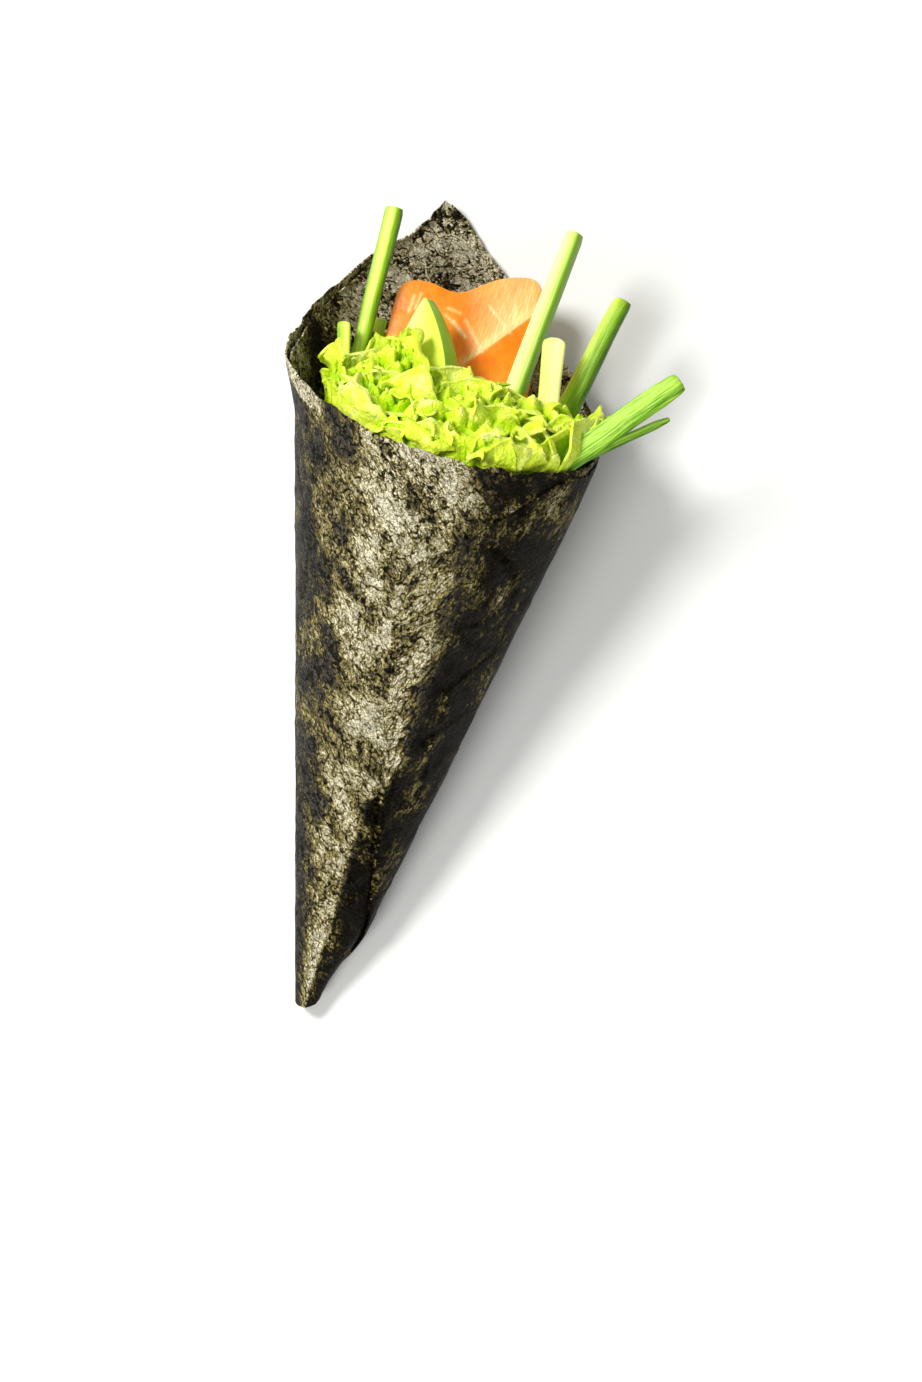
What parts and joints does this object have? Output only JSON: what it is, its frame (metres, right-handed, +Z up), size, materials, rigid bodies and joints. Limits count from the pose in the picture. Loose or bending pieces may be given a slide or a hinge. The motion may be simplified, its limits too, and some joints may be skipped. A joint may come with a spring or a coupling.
{
  "type": "temaki hand roll",
  "caption": "Cone of rolled nori with a pointed flap, filled with ruffled lettuce, a slice of salmon, avocado and sticks of cucumber and scallion, lying on its back.",
  "frame": {"origin": "on the floor, below the middle of the whole roll's bounding box", "axes": "+Y from the blunt tip to the filled mouth, +Z up to the shown side, +X to the right of the shown side"},
  "size_m": [0.0686, 0.1484, 0.0484],
  "materials": {
    "nori": "dry pressed seaweed, fibrous, with a soft sheen",
    "lettuce": "thin ruffled leaf, damp",
    "salmon": "raw flesh with pale fat lines, moist",
    "avocado": "ripe cut flesh, greener at the outer edge",
    "scallion": "fresh stalk with fine lengthwise fibres",
    "cucumber": "cut flesh, moist",
    "cucumber_skin_side": "cut flesh next to the skin, moist"
  },
  "bodies": {
    "root": {"nori": "nori", "lettuce": "lettuce", "salmon": "salmon", "avocado": "avocado", "scallion_left": "scallion", "scallion_right": "scallion", "leaf_wide": "scallion", "leaf_thin": "scallion", "cucumber_long": "cucumber", "cucumber_short": "cucumber", "cucumber_left": "cucumber_skin_side", "cucumber_chip": "cucumber"}
  },
  "joints": []
}
